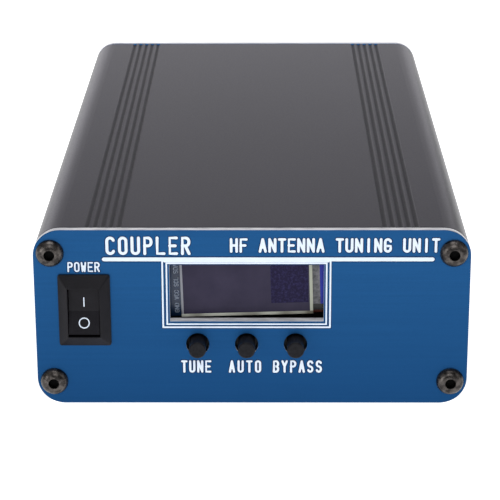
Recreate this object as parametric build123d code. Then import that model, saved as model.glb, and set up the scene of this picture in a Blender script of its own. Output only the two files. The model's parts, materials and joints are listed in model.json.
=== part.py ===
from build123d import *
import math
import os

# Automatic antenna tuner in a split extruded case.
# X runs to the right, Y from the front panel to the rear panel, Z up.
# The origin is the centre of the case's underside. Millimetres.

# Case
case_width = 88.4
case_height = 37.75
case_length = 161.0
corner_radius = 5.5
panel_thickness = 2.0
panel_front_break = 0.1
panel_back_break = 0.4
shell_wall = 1.8
tongue_thickness = 0.7
tongue_height = 1.0
joint_clearance = 0.05
boss_radius = 2.9
screw_inset_x = 3.45
screw_inset_z = 4.9
groove_count = 5
groove_pitch = 1.6
groove_width = 1.1
groove_depth = 0.3
groove_inset = 10.9

# Fasteners
m3_radius = 1.5
m3_thread_clearance = 0.05
m3_hole_clearance = 0.1
button_head_radius = 2.85
button_head_height = 1.65
button_head_crown = 1.5
hex_key_size = 2.0
hex_key_depth = 1.0
button_head_shoulder = (0.8, 0.72)
button_head_flat = 0.42
panel_screw_length = 8.0

# Main board and the ribs that hold it
board_underside = 8.0
board_thickness = 1.6
board_rear_bay = 25.0
board_front_gap = 1.0
board_side_clearance = 0.3
board_slot_clearance = 0.15
rib_thickness = 1.0
rib_reach = 1.5
board_leg_clearance = 0.15

# Push buttons
button_spacing = 10.0
button_row_x = -1.1
button_axis_height = 3.5
button_hole_radius = 2.4
button_shaft_radius = 1.75
button_tip_radius = 1.5
button_reach = 3.6
button_travel = 0.25
button_flange_radius = 2.2
button_flange_thickness = 0.5
button_well_radius = 2.4
button_body_side = 6.0
button_body_depth = 3.0
button_body_gap = 0.3
button_cover_thickness = 0.3
button_cover_clearance = 0.06
button_leg_width = 1.6
button_leg_length = 3.2
dome_radius = 2.3
dome_rise = 0.45
dome_thickness = 0.1
dome_clearance = 0.06

# Rocker switch
switch_x = -34.05
switch_z = 20.65
switch_well_width = 6.5
switch_well_height = 10.4
switch_side_wall = 1.05
switch_end_wall = 1.2
bezel_overhang_x = 1.0
bezel_overhang_z = 1.25
bezel_base = 0.45
bezel_stand = 2.2
bezel_slope_x = 1.9
bezel_slope_z = 2.3
bezel_corner = 0.5
bezel_inner_corner = 0.2
switch_body_clearance = 0.1
switch_well_depth = 9.6
switch_floor = 1.2
switch_snap_width = 4.0
switch_snap_reach = 0.7
switch_snap_length = 3.0
rocker_swing = 16.0
rocker_side_clearance = 0.15
rocker_end_clearance = 0.4
rocker_pivot_y = 0.0
rocker_crease = 1.1
rocker_back = 1.3
rocker_corner = 0.6
rocker_pin_radius = 0.8
rocker_pin_reach = 0.9
rocker_pin_clearance = 0.03
stem_width = 3.0
stem_height = 2.6
stem_length = 5.9
plunger_radius = 0.7
plunger_clearance = 0.05
plunger_tip = 8.1
plunger_length = 3.9
spring_wire_radius = 0.1
spring_radius = 0.5
spring_turns = 5
blade_swing = 12.0
blade_plane = 8.2
blade_thickness = 0.4
blade_width = 3.2
blade_half_length = 4.2
blade_clearance = 0.1
terminal_width = 2.8
terminal_thickness = 0.5
terminal_end = 17.5
terminal_offset = 3.6
terminal_hole_radius = 0.7
terminal_hole_setback = 2.0

# Display window and display module
window_x = -1.05
window_z = 24.23
window_width = 31.35
window_height = 12.25
module_x = -0.5
module_z = 24.0
module_tilt = 1.6
module_width = 38.0
module_height = 12.0
module_board_thickness = 1.2
display_gap = 1.2
glass_x = 0.9
glass_width = 30.0
glass_height = 11.5
glass_thickness = 0.7
cover_glass_width = 27.0
pad_width = 2.2
pad_height = 8.0
module_pin_pitch = 2.54
module_pin_inset = 1.4
pin_side = 0.6
header_thickness = 2.5
plug_length = 8.0
display_wire_radius = 0.55
display_lead_bend = 1.8
display_lead_run = 4.5
board_plug_height = 5.5

# Board components
relay_size = (19.0, 15.5, 15.3)
relay_pitch = 16.4
relay_rib_gap = 0.4
left_relay_count = 6
right_relay_count = 7
relay_front_gap = 0.7
relay_corner = 0.8
relay_top_break = 0.4
output_relay_gap = 0.8
output_relay_clearance = 0.25
output_relay_margin = 12.0
toroid_outer = 10.1
toroid_inner = 6.3
toroid_height = 6.4
toroid_wire = 1.2
toroid_rounding = 0.6
toroid_open_angle = 60
toroid_gap = 0.4
toroid_rear_margin = 44.0
toroid_pitch = 23.5
toroid_count = 3
coil_radius = 4.2
coil_wire_radius = 0.5
coil_turns = 6
coil_pitch = 1.7
coil_gap = 2.2
coil_rear_margin = 46.0
coil_spacing = 16.0
coil_count = 4
match_offset = 9.5
match_rear_margin = 27.2
match_outer = 6.35
match_inner = 3.6
match_thickness = 4.8
match_wire = 0.7
match_rounding = 0.4
match_open_angle = 80
match_line_radius = 2.0
match_line_length = 9.6
match_foot_side = 1.0
capacitor_size = (4.5, 10.0, 9.0)
capacitor_gap = 0.65
capacitor_lift = 1.5
capacitor_rounding = 1.0
capacitor_foot_side = 0.6
capacitor_foot_pitch = 5.0
capacitor_foot_height = 3.0
controller_size = (35.5, 7.4, 3.3)
controller_gap = 0.25
controller_front_margin = 11.0
controller_socket_height = 4.0
controller_socket_rim = 1.2
controller_socket_end = 2.0
driver_size = (19.3, 6.4, 3.5)
driver_rib_gap = 1.4
driver_front_margins = (9.0, 18.6)
chip_lift = 0.6
chip_break = 0.4
chip_leg_pitch = 2.54
chip_leg_width = 0.7
chip_leg_inset = 0.2
chip_leg_reach = 0.5
electrolytic_radius = 4.0
electrolytic_height = 12.0
electrolytic_rounding = 0.5
electrolytic_crimp_width = 0.8
electrolytic_crimp_depth = 0.3
electrolytic_crimp_height = 2.0
electrolytic_places_x = (-6.0, 4.5)
electrolytic_front_margin = 21.4
regulator_x = 30.0
regulator_front_margin = 4.6
regulator_size = (10.0, 4.5, 9.2)
regulator_lead = 3.2
regulator_tab_height = 6.4
regulator_tab_thickness = 1.3
regulator_break = 0.4
regulator_leg_pitch = 2.54
regulator_leg_size = (0.8, 0.6)
regulator_hole_radius = 1.8

# Rear sockets
coax_x = 24.0
coax_flange_side = 25.4
coax_flange_thickness = 1.6
coax_flange_corner = 1.5
coax_hole_spacing = 18.2
coax_barrel_radius = 7.94
coax_barrel_length = 16.4
coax_barrel_break = 0.5
coax_notch_side = 1.4
coax_bore_radius = 6.2
coax_bore_floor = 3.0
coax_ferrule_radius = 6.35
coax_ferrule_length = 6.0
coax_ferrule_bore = 5.0
coax_panel_clearance = 0.15
coax_contact_radius = 3.0
coax_contact_bore = 2.0
coax_contact_recess = 3.0
coax_contact_bore_length = 8.0
coax_contact_slit = 0.5
coax_slit_end = 2.0
coax_insulator_step = 3.0
coax_insulator_tail = 2.0
coax_cup_radius = 1.6
coax_cup_length = 5.0
coax_cup_bore = 1.0
coax_cup_depth = 3.0
flange_head_radius = 2.75
flange_head_height = 1.8
flange_head_rounding = 0.8
flange_cross = (2.6, 2.0, 0.6)
nut_width = 5.5
nut_height = 2.4

jack_rise = 7.75
jack_barrel_radius = 4.0
jack_panel_clearance = 0.1
jack_flange_radius = 5.5
jack_flange_thickness = 1.5
jack_flange_break = 0.4
jack_length = 12.0
jack_bore_radius = 2.85
jack_bore_depth = 9.5
jack_pin_radius = 1.0
jack_pin_root_radius = 1.3
jack_pin_recess = 1.0
jack_nut_width = 11.0
jack_nut_height = 2.2
jack_tab_length = 6.0
jack_tab_width = 2.4
jack_tab_thickness = 0.4
jack_tab_offset = 1.8
jack_tab_root = 2.0

ground_drop = 8.15
ground_radius = 2.0
ground_hole_clearance = 0.15
ground_collar_width = 8.0
ground_collar_height = 3.0
ground_stud_length = 10.4
ground_tip_break = 0.4
ground_tail = 1.2
ground_nut_width = 7.0
ground_nut_height = 3.2
washer_radius = 4.5
washer_thickness = 0.8
lug_radius = 3.8
lug_thickness = 0.6
lug_reach = 9.5
lug_width = 3.0
lug_landing = 1.0

# Internal leads
power_lead_radius = 0.65
rf_lead_radius = 0.8
lead_landing_margin = 1.2
lead_rise = 4.0
earth_lead_rise = 5.0
earth_lead_runs = (12.0, 20.0)
feed_runs = (9.0, 24.0, 62.0)
feed_x = (-17.0, -19.0)
feed_front_run = 44.0
feed_over_relay = 0.3
feed_tail = 5.0
lead_bend = 3.5
switch_lead_bend = 2.2
earth_lead_bend = 2.4

# Places worked out from the sizes above
front_face = -case_length / 2
rear_face = case_length / 2
panel_inside = front_face + panel_thickness
rear_inside = rear_face - panel_thickness
board_top = board_underside + board_thickness
board_front = panel_inside + board_front_gap
board_rear = rear_inside - board_rear_bay
board_half_width = case_width / 2 - shell_wall - board_side_clearance
rib_inside = case_width / 2 - shell_wall - rib_reach
relay_column_x = rib_inside - relay_rib_gap - relay_size[0] / 2
relay_inner_x = relay_column_x - relay_size[0] / 2
regulator_y = board_front + regulator_front_margin
regulator_back = regulator_y + regulator_size[1] / 2 + regulator_tab_thickness
relay_front_y = regulator_back + relay_front_gap + relay_size[1] / 2
capacitor_x = relay_inner_x - capacitor_gap - capacitor_size[0] / 2
capacitor_inner_x = capacitor_x - capacitor_size[0] / 2
output_pair_half = relay_size[1] + output_relay_gap / 2
output_middle_x = capacitor_inner_x - output_relay_clearance - output_pair_half
output_relay_x = (relay_size[1] + output_relay_gap) / 2
output_relay_y = board_rear - output_relay_margin
toroid_reach = toroid_outer + toroid_wire
toroid_x = toroid_gap + toroid_reach - relay_inner_x
toroid_rear_y = board_rear - toroid_rear_margin
coil_length = coil_turns * coil_pitch
coil_x = toroid_x + toroid_reach + coil_gap + coil_length / 2
coil_rear_y = board_rear - coil_rear_margin
match_y = board_rear - match_rear_margin
controller_y = board_front + controller_front_margin
driver_x = driver_rib_gap + driver_size[0] / 2 - rib_inside
controller_x = driver_x + driver_size[0] / 2 + controller_gap + controller_size[0] / 2
electrolytic_y = board_front + electrolytic_front_margin
lead_landing_y = board_rear - lead_landing_margin
coax_z = case_height / 2
jack_z = coax_z + jack_rise
ground_z = coax_z - ground_drop
button_z = board_top + button_axis_height
button_places = [button_row_x + step * button_spacing for step in (-1, 0, 1)]
button_cover_front = panel_inside + button_body_gap
button_cover_back = button_cover_front + button_cover_thickness
screw_x = case_width / 2 - screw_inset_x
screw_places = [
    (side * screw_x, height)
    for side in (-1, 1)
    for height in (screw_inset_z, case_height - screw_inset_z)
]
coax_places = (-coax_x, coax_x)
coax_screw_places = [
    (x + side * coax_hole_spacing / 2, coax_z + level * coax_hole_spacing / 2)
    for x in coax_places
    for side in (-1, 1)
    for level in (-1, 1)
]
right_relays = [relay_front_y + step * relay_pitch for step in range(right_relay_count)]
left_relays = right_relays[right_relay_count - left_relay_count:]
switch_body_width = switch_well_width + 2 * switch_side_wall
switch_body_height = switch_well_height + 2 * switch_end_wall
bezel_width = switch_body_width + 2 * bezel_overhang_x
bezel_height = switch_body_height + 2 * bezel_overhang_z
rocker_half_length = switch_well_height / 2 - rocker_end_clearance
groove_radius = (groove_width ** 2 / 4 + groove_depth ** 2) / (2 * groove_depth)
glass_front = panel_inside + display_gap
module_front = glass_front + 2 * glass_thickness
module_back = module_front + module_board_thickness


def block(x_span, y_span, z_span):
    """Box between three pairs of limits."""
    size = [high - low for low, high in (x_span, y_span, z_span)]
    middle = [(high + low) / 2 for low, high in (x_span, y_span, z_span)]
    return Pos(*middle) * Box(*size)


def along_y(shape, y_low, y_high):
    """Flat shape drawn in X and Z, carried from y_low to y_high."""
    return extrude(Plane.XZ.offset(-y_low) * shape, amount=y_low - y_high)


def rod(x, z, radius, y_low, y_high):
    """Round bar along Y."""
    return along_y(Pos(x, z) * Circle(radius), y_low, y_high)


def tube(x, z, outer, inner, y_low, y_high):
    """Round tube along Y."""
    return along_y(Pos(x, z) * (Circle(outer) - Circle(inner)), y_low, y_high)


def hexagon(x, z, across, y_low, y_high, bore):
    """Hexagonal bar along Y with a round bore."""
    outline = RegularPolygon(across / 2, 6, major_radius=False) - Circle(bore)
    return along_y(Pos(x, z) * outline, y_low, y_high)


def lead(points, radius, bends):
    """Round wire on straight runs joined by tangent arcs."""
    path = FilletPolyline(*points, radius=bends)
    return sweep(Plane(origin=path @ 0, z_dir=path % 0) * Circle(radius), path=path)


def write(name, solids):
    """One STEP file per node."""
    export_step(Compound(children=list(solids)), f"parts/{name}.step")


# Case

def half_shell():
    """Lower extrusion: wall, screw bosses, board ribs, grooves, tongue and groove joint."""
    half_width = case_width / 2
    half_height = case_height / 2
    outer = RectangleRounded(case_width, case_height, corner_radius)
    inner_width = case_width - 2 * shell_wall
    inner_height = case_height - 2 * shell_wall
    inner = RectangleRounded(inner_width, inner_height, corner_radius - shell_wall)
    profile = outer - inner
    rib_length = shell_wall / 2 + rib_reach
    slot = board_thickness + 2 * board_slot_clearance
    slot_middle = board_underside + board_thickness / 2 - half_height
    for side in (-1, 1):
        boss = Pos(side * screw_x, screw_inset_z - half_height) * Circle(boss_radius)
        profile += boss & outer
        for level in (-1, 1):
            rib_z = slot_middle + level * (slot + rib_thickness) / 2
            rib_middle = half_width - shell_wall - rib_reach + rib_length / 2
            profile += Pos(side * rib_middle, rib_z) * Rectangle(rib_length, rib_thickness)
    for side in (-1, 1):
        hole_radius = m3_radius + m3_thread_clearance
        profile -= Pos(side * screw_x, screw_inset_z - half_height) * Circle(hole_radius)
        for step in range(groove_count):
            groove_x = side * (half_width - groove_inset - step * groove_pitch)
            groove_z = groove_depth - groove_radius - half_height
            profile -= Pos(groove_x, groove_z) * Circle(groove_radius)
    half = profile & (Pos(0, -half_height / 2) * Rectangle(case_width, half_height))
    seat = half_width - shell_wall / 2
    tongue = Rectangle(tongue_thickness, 2 * tongue_height)
    channel = Rectangle(tongue_thickness + 2 * joint_clearance, 2 * (tongue_height + joint_clearance))
    half += Pos(seat, 0) * tongue
    half -= Pos(-seat, 0) * channel
    return along_y(Pos(0, half_height) * half, panel_inside, rear_inside)


def case_shells():
    lower = half_shell()
    turn = Pos(0, 0, case_height / 2) * Rot(0, 180, 0) * Pos(0, 0, -case_height / 2)
    write("lower_shell", [lower])
    write("upper_shell", [turn * lower])


def blank_panel(y_low, outer_face):
    """Plain panel with its screw holes; outer_face is 0 for the low Y face, -1 for the high one."""
    outline = Pos(0, case_height / 2) * RectangleRounded(case_width, case_height, corner_radius)
    panel = along_y(outline, y_low, y_low + panel_thickness)
    front_rim = panel.faces().sort_by(Axis.Y)[outer_face].edges()
    panel = chamfer(front_rim, panel_front_break)
    back_rim = panel.faces().sort_by(Axis.Y)[-1 - outer_face].edges()
    panel = chamfer(back_rim, panel_back_break)
    for x, z in screw_places:
        panel -= rod(x, z, m3_radius + m3_hole_clearance, y_low - 1, y_low + panel_thickness + 1)
    return panel


def front_panel():
    panel = blank_panel(front_face, 0)
    cut_low = front_face - 1
    cut_high = panel_inside + 1
    panel -= along_y(Pos(window_x, window_z) * Rectangle(window_width, window_height), cut_low, cut_high)
    switch_hole = Rectangle(
        switch_body_width + 2 * switch_body_clearance,
        switch_body_height + 2 * switch_body_clearance,
    )
    panel -= along_y(Pos(switch_x, switch_z) * switch_hole, cut_low, cut_high)
    for x in button_places:
        panel -= rod(x, button_z, button_hole_radius, cut_low, cut_high)
    write("front_panel", [panel])


def rear_panel():
    panel = blank_panel(rear_inside, -1)
    cut_low = rear_inside - 1
    cut_high = rear_face + 1
    for x in coax_places:
        panel -= rod(x, coax_z, coax_ferrule_radius + coax_panel_clearance, cut_low, cut_high)
    for x, z in coax_screw_places:
        panel -= rod(x, z, m3_radius + m3_hole_clearance, cut_low, cut_high)
    panel -= rod(0, jack_z, jack_barrel_radius + jack_panel_clearance, cut_low, cut_high)
    panel -= rod(0, ground_z, ground_radius + ground_hole_clearance, cut_low, cut_high)
    write("rear_panel", [panel])


def button_head_screw(x, z, seat, outward):
    """Socket button head screw whose head stands on the plane y = seat."""
    crown = button_head_height
    rim = Polyline((0, 0), (button_head_radius, 0), (button_head_radius, crown - button_head_crown))
    dome = ThreePointArc(
        (button_head_radius, crown - button_head_crown),
        (button_head_radius * button_head_shoulder[0], crown * button_head_shoulder[1]),
        (button_head_radius * button_head_flat, crown),
    )
    close = Polyline((button_head_radius * button_head_flat, crown), (0, crown), (0, 0))
    half = Plane.XZ * make_face(rim + dome + close)
    head = revolve(half, Axis.Z)
    key = RegularPolygon(hex_key_size / 2, 6, major_radius=False)
    head -= Pos(0, 0, crown - hex_key_depth) * extrude(key, amount=hex_key_depth + 1)
    screw = head + Pos(0, 0, -panel_screw_length / 2) * Cylinder(m3_radius, panel_screw_length)
    return Pos(x, seat, z) * Rot(-90 * outward, 0, 0) * screw


def panel_screws():
    write("front_panel_screws", [button_head_screw(x, z, front_face, -1) for x, z in screw_places])
    write("rear_panel_screws", [button_head_screw(x, z, rear_face, 1) for x, z in screw_places])


# Rocker switch, drawn about its own centre with the panel's front face at y = 0

def place_switch(solid):
    return Pos(switch_x, front_face, switch_z) * solid


def switch_housing():
    base = along_y(RectangleRounded(bezel_width, bezel_height, bezel_corner), -bezel_base, 0)
    lower_rim = Plane.XZ.offset(bezel_base) * RectangleRounded(bezel_width, bezel_height, bezel_corner)
    top_width = bezel_width - 2 * bezel_slope_x
    top_height = bezel_height - 2 * bezel_slope_z
    upper_rim = Plane.XZ.offset(bezel_stand) * RectangleRounded(top_width, top_height, bezel_inner_corner)
    bezel = base + loft([lower_rim, upper_rim])
    depth = switch_well_depth + switch_floor
    body = along_y(Rectangle(switch_body_width, switch_body_height), 0, depth)
    housing = bezel + body
    snap_start = panel_thickness + switch_body_clearance
    for side in (-1, 1):
        edge = side * switch_body_height / 2
        wedge = Polyline(
            (snap_start, edge),
            (snap_start, edge + side * switch_snap_reach),
            (snap_start + switch_snap_length, edge),
            close=True,
        )
        wedge_face = Plane.YZ * make_face(wedge)
        housing += extrude(wedge_face, amount=switch_snap_width / 2, both=True)
    housing -= along_y(Rectangle(switch_well_width, switch_well_height), -bezel_stand - 1, switch_well_depth)
    pin_reach = switch_well_width / 2 + rocker_pin_reach
    pin_hole = Rot(0, 90, 0) * Cylinder(rocker_pin_radius + rocker_pin_clearance, 2 * pin_reach)
    housing -= Pos(0, rocker_pivot_y, 0) * pin_hole
    for offset in (0, -terminal_offset):
        slot = Rectangle(terminal_width, terminal_thickness)
        housing -= along_y(Pos(0, offset) * slot, switch_well_depth - 1, depth + 1)
    write("switch_housing", [place_switch(housing)])


def rocker_turn(solid, angle):
    """Turn about the rocker's pins, top end outwards for a positive angle."""
    return Pos(0, rocker_pivot_y, 0) * Rot(angle, 0, 0) * Pos(0, -rocker_pivot_y, 0) * solid


def switch_rocker():
    width = switch_well_width - 2 * rocker_side_clearance
    crease_y = rocker_pivot_y - rocker_crease
    rise = rocker_half_length * math.tan(math.radians(rocker_swing / 2))
    back_y = rocker_pivot_y + rocker_back
    outline = Polyline(
        (crease_y, 0),
        (crease_y - rise, rocker_half_length),
        (back_y - rocker_corner, rocker_half_length),
        (back_y, rocker_half_length - rocker_corner),
        (back_y, rocker_corner - rocker_half_length),
        (back_y - rocker_corner, -rocker_half_length),
        (crease_y - rise, -rocker_half_length),
        close=True,
    )
    paddle = extrude(Plane.YZ * make_face(outline), amount=width / 2, both=True)
    stem_end = rocker_pivot_y + stem_length
    paddle += along_y(Rectangle(stem_width, stem_height), back_y - 0.2, stem_end)
    pin_length = width + 2 * rocker_pin_reach
    paddle += Pos(0, rocker_pivot_y, 0) * Rot(0, 90, 0) * Cylinder(rocker_pin_radius, pin_length)
    hole_start = rocker_pivot_y + rocker_back
    paddle -= rod(0, 0, plunger_radius + plunger_clearance, hole_start, stem_end + 1)
    write("switch_rocker", [place_switch(rocker_turn(paddle, -rocker_swing / 2))])


def switch_plunger():
    tip = rocker_pivot_y + plunger_tip
    straight = rod(0, 0, plunger_radius, tip - plunger_length, tip - plunger_radius)
    nose = Pos(0, tip - plunger_radius, 0) * Sphere(plunger_radius)
    plunger = straight + nose
    write("switch_plunger", [place_switch(rocker_turn(plunger, -rocker_swing / 2))])


def switch_spring():
    """Coil between the bottom of the stem's hole and the plunger."""
    start = rocker_pivot_y + rocker_back + spring_wire_radius
    end = rocker_pivot_y + plunger_tip - plunger_length - spring_wire_radius
    helix = Helix(pitch=(end - start) / spring_turns, height=end - start, radius=spring_radius)
    section = Plane(origin=helix @ 0, z_dir=helix % 0) * Circle(spring_wire_radius)
    coil = sweep(section, path=helix, is_frenet=True)
    placed = Pos(0, start, 0) * Rot(-90, 0, 0) * coil
    write("switch_spring", [place_switch(rocker_turn(placed, -rocker_swing / 2))])


def switch_blade():
    """See-saw contact, tipped on to its fixed contact as the switch is on."""
    plate = block(
        (-blade_width / 2, blade_width / 2),
        (0, blade_thickness),
        (-blade_half_length, blade_half_length),
    )
    tipped = Pos(0, blade_plane, 0) * Rot(blade_swing / 2, 0, 0) * plate
    write("switch_blade", [place_switch(tipped)])


def switch_terminals():
    lean = math.tan(math.radians(blade_swing / 2))
    starts = (
        (0, blade_plane + blade_thickness + blade_clearance),
        (-terminal_offset, blade_plane + blade_thickness + blade_clearance + terminal_offset * lean),
    )
    tabs = []
    for offset, start in starts:
        across = (offset - terminal_thickness / 2, offset + terminal_thickness / 2)
        tab = block((-terminal_width / 2, terminal_width / 2), (start, terminal_end), across)
        hole_at = Pos(0, terminal_end - terminal_hole_setback, offset)
        hole = hole_at * Cylinder(terminal_hole_radius, 2 * terminal_thickness)
        tabs.append(place_switch(tab - hole))
    write("switch_terminals", tabs)


# Push buttons

def push_buttons():
    names = ("tune_button", "auto_button", "bypass_button")
    flange_front = button_cover_back
    flange_back = flange_front + button_flange_thickness
    tip = front_face - button_reach
    well_floor = flange_back + button_travel + dome_clearance + dome_rise + dome_thickness
    body_back = button_cover_back + button_body_depth
    side = button_body_side / 2
    bodies = []
    brackets = []
    domes = []
    for name, x in zip(names, button_places):
        shaft = rod(x, button_z, button_shaft_radius, tip, flange_front)
        rim = shaft.faces().sort_by(Axis.Y)[0].edges()
        shaft = chamfer(rim, button_shaft_radius - button_tip_radius)
        flange = rod(x, button_z, button_flange_radius, flange_front, flange_back)
        write(name, [shaft + flange])

        body = block((x - side, x + side), (button_cover_back, body_back), (board_top, button_z + side))
        body -= rod(x, button_z, button_well_radius, button_cover_back - 1, well_floor)
        bodies.append(body)

        z_span = (board_top, button_z + side)
        cover = block((x - side, x + side), (button_cover_front, button_cover_back), z_span)
        cover_hole = button_shaft_radius + button_cover_clearance
        cover -= rod(x, button_z, cover_hole, button_cover_front - 1, body_back)
        for hand in (-1, 1):
            near = x + hand * side
            far = x + hand * (side + button_cover_thickness)
            leg_x = (min(near, far), max(near, far))
            arm_y = (button_cover_front, body_back)
            cover += block(leg_x, arm_y, z_span)
            leg_y = (body_back - button_leg_width, body_back)
            cover += block(leg_x, leg_y, (board_top - button_leg_length, board_top))
        brackets.append(cover)

        crown = well_floor - dome_rise - dome_thickness
        arc_outer = ThreePointArc((dome_radius, 0), (0, dome_rise + dome_thickness), (-dome_radius, 0))
        arc_inner = ThreePointArc(
            (dome_radius - dome_thickness, 0),
            (0, dome_rise),
            (dome_thickness - dome_radius, 0),
        )
        outer = make_face(arc_outer + Line((-dome_radius, 0), (dome_radius, 0)))
        inner_line = Line((dome_thickness - dome_radius, 0), (dome_radius - dome_thickness, 0))
        inner = make_face(arc_inner + inner_line)
        half = (outer - inner) & (Pos(dome_radius, 0) * Rectangle(2 * dome_radius, 4 * dome_rise))
        dome = revolve(Plane.XZ * half, Axis.Z)
        domes.append(Pos(x, crown + dome_rise + dome_thickness, button_z) * Rot(90, 0, 0) * dome)
    write("button_bodies", bodies)
    write("button_brackets", brackets)
    write("button_domes", domes)
    return body_back


# Display

def place_module(solid):
    """Module drawn about its centre, then turned in the window as it is fixed."""
    return Pos(module_x, 0, module_z) * Rot(0, -module_tilt, 0) * solid


def module_pins():
    pin_x = -module_width / 2 + module_pin_inset
    return [(pin_x, (step - 1.5) * module_pin_pitch) for step in range(4)]


def display_module():
    board = block(
        (-module_width / 2, module_width / 2),
        (module_front, module_back),
        (-module_height / 2, module_height / 2),
    )
    for x, z in module_pins():
        board -= along_y(Pos(x, z) * Rectangle(pin_side, pin_side), module_front - 1, module_back + 1)
    write("display_board", [place_module(board)])

    left = glass_x - glass_width / 2
    glass_middle = module_front - glass_thickness
    rear_glass = block(
        (left, left + glass_width),
        (glass_middle, module_front),
        (-glass_height / 2, glass_height / 2),
    )
    cover = block(
        (left, left + cover_glass_width),
        (glass_front, glass_middle),
        (-glass_height / 2, glass_height / 2),
    )
    write("display_rear_glass", [place_module(rear_glass)])
    write("display_cover_glass", [place_module(cover)])

    pads = []
    for side in (-1, 1):
        outer = side * module_width / 2
        inner = outer - side * pad_width
        span = (min(outer, inner), max(outer, inner))
        pads.append(block(span, (panel_inside, module_front), (-pad_height / 2, pad_height / 2)))
    for x, z in module_pins():
        relief = Pos(x, z) * Rectangle(2 * pin_side, 2 * pin_side)
        pads[0] -= along_y(relief, panel_inside - 1, module_front + 1)
    write("display_pads", [place_module(pad) for pad in pads])

    pins = []
    pin_x = module_pins()[0][0]
    row = 4 * module_pin_pitch
    half_row = (pin_x - module_pin_pitch / 2, pin_x + module_pin_pitch / 2)
    spacer = block(half_row, (module_back, module_back + header_thickness), (-row / 2, row / 2))
    plug_end = module_back + header_thickness + plug_length
    plug = block(half_row, (module_back + header_thickness, plug_end), (-row / 2, row / 2))
    for x, z in module_pins():
        pin = Pos(x, z) * Rectangle(pin_side, pin_side)
        pins.append(along_y(pin, module_front - 1, plug_end - 2))
        spacer -= along_y(pin, module_back - 1, plug_end)
        plug -= along_y(pin, module_back, plug_end - 2)
    write("display_pins", [place_module(pin) for pin in pins])
    display_wiring(plug_end, place_module(spacer), place_module(plug))


def display_wiring(plug_end, module_header, module_plug):
    """Four leads in one plane, each turning down to its own place in the board plug."""
    ends = []
    for x, z in module_pins():
        turned = place_module(Pos(x, plug_end, z) * Box(1, 1, 1)).center()
        ends.append((turned.X, turned.Z))
    row_start = plug_end + display_lead_run
    socket_low = board_top
    socket_high = socket_low + header_thickness
    board_plug_high = socket_high + board_plug_height
    leads = []
    middle_x = sum(x for x, z in ends) / len(ends)
    for step, (x, z) in enumerate(ends):
        y = row_start + step * module_pin_pitch
        points = ((x, plug_end, z), (x, y, z), (x, y, board_plug_high))
        leads.append(lead(points, display_wire_radius, display_lead_bend))
    write("display_leads", leads)
    y_span = (row_start - module_pin_pitch / 2, row_start + 3.5 * module_pin_pitch)
    x_span = (middle_x - module_pin_pitch / 2, middle_x + module_pin_pitch / 2)
    write("pin_headers", [module_header, block(x_span, y_span, (socket_low, socket_high))])
    write("lead_plugs", [module_plug, block(x_span, y_span, (socket_high, board_plug_high))])


# Main board and what stands on it

def main_board(button_back):
    board = block(
        (-board_half_width, board_half_width),
        (board_front, board_rear),
        (board_underside, board_top),
    )
    for x in button_places:
        for hand in (-1, 1):
            leg_x = x + hand * (button_body_side + button_cover_thickness) / 2
            leg_y = button_back - button_leg_width / 2
            slot_x = button_cover_thickness + 2 * board_leg_clearance
            slot_y = button_leg_width + 2 * board_leg_clearance
            slot = Box(slot_x, slot_y, 4 * board_thickness)
            board -= Pos(leg_x, leg_y, board_top) * slot
    write("main_board", [board])


def relay(x, y, turned):
    length, width, height = relay_size
    if turned:
        length, width = width, length
    case = Box(length, width, height)
    case = fillet(case.edges().filter_by(Axis.Z), relay_corner)
    case = chamfer(case.faces().sort_by(Axis.Z)[-1].edges(), relay_top_break)
    return Pos(x, y, board_top + height / 2) * case


def relays():
    write("inductor_relays", [relay(-relay_column_x, y, False) for y in left_relays])
    write("capacitor_relays", [relay(relay_column_x, y, False) for y in right_relays])
    output_places = [output_middle_x + side * output_relay_x for side in (-1, 1)]
    write("output_relays", [relay(x, output_relay_y, True) for x in output_places])


def ring(outer, inner, height, rounding):
    """Toroid core with rounded edges, axis along Z."""
    core = Cylinder(outer, height) - Cylinder(inner, height)
    return fillet(core.edges().filter_by(GeomType.CIRCLE), rounding)


def wound_sleeve(outer, inner, height, wire, gap_angle):
    """Winding as one closed sleeve round the core, open over gap_angle."""
    sleeve = Cylinder(outer + wire, height + 2 * wire) - Cylinder(inner - wire, height + 2 * wire)
    sleeve -= Cylinder(outer, height) - Cylinder(inner, height)
    reach = 2 * outer
    half = math.radians(gap_angle / 2)
    wedge = Polyline((0, 0), (reach, -reach * math.tan(half)), (reach, reach * math.tan(half)), close=True)
    return sleeve - Pos(0, 0, -height) * extrude(make_face(wedge), amount=2 * height)


def toroids():
    cores = []
    windings = []
    height = board_top + toroid_wire + toroid_height / 2
    for step in range(toroid_count):
        place = Pos(toroid_x, toroid_rear_y - step * toroid_pitch, height)
        sizes = (toroid_outer, toroid_inner, toroid_height)
        cores.append(place * ring(*sizes, toroid_rounding))
        windings.append(place * wound_sleeve(*sizes, toroid_wire, toroid_open_angle))
    write("toroid_cores", cores)
    write("toroid_windings", windings)


def air_coils():
    coils = []
    axis_z = board_top + coil_radius + coil_wire_radius
    for step in range(coil_count):
        y = coil_rear_y - step * coil_spacing
        coil_shell = Cylinder(coil_radius + coil_wire_radius, coil_length)
        coil_shell -= Cylinder(coil_radius - coil_wire_radius, coil_length)
        coils.append(Pos(coil_x, y, axis_z) * Rot(0, 90, 0) * coil_shell)
    write("air_coils", coils)


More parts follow.
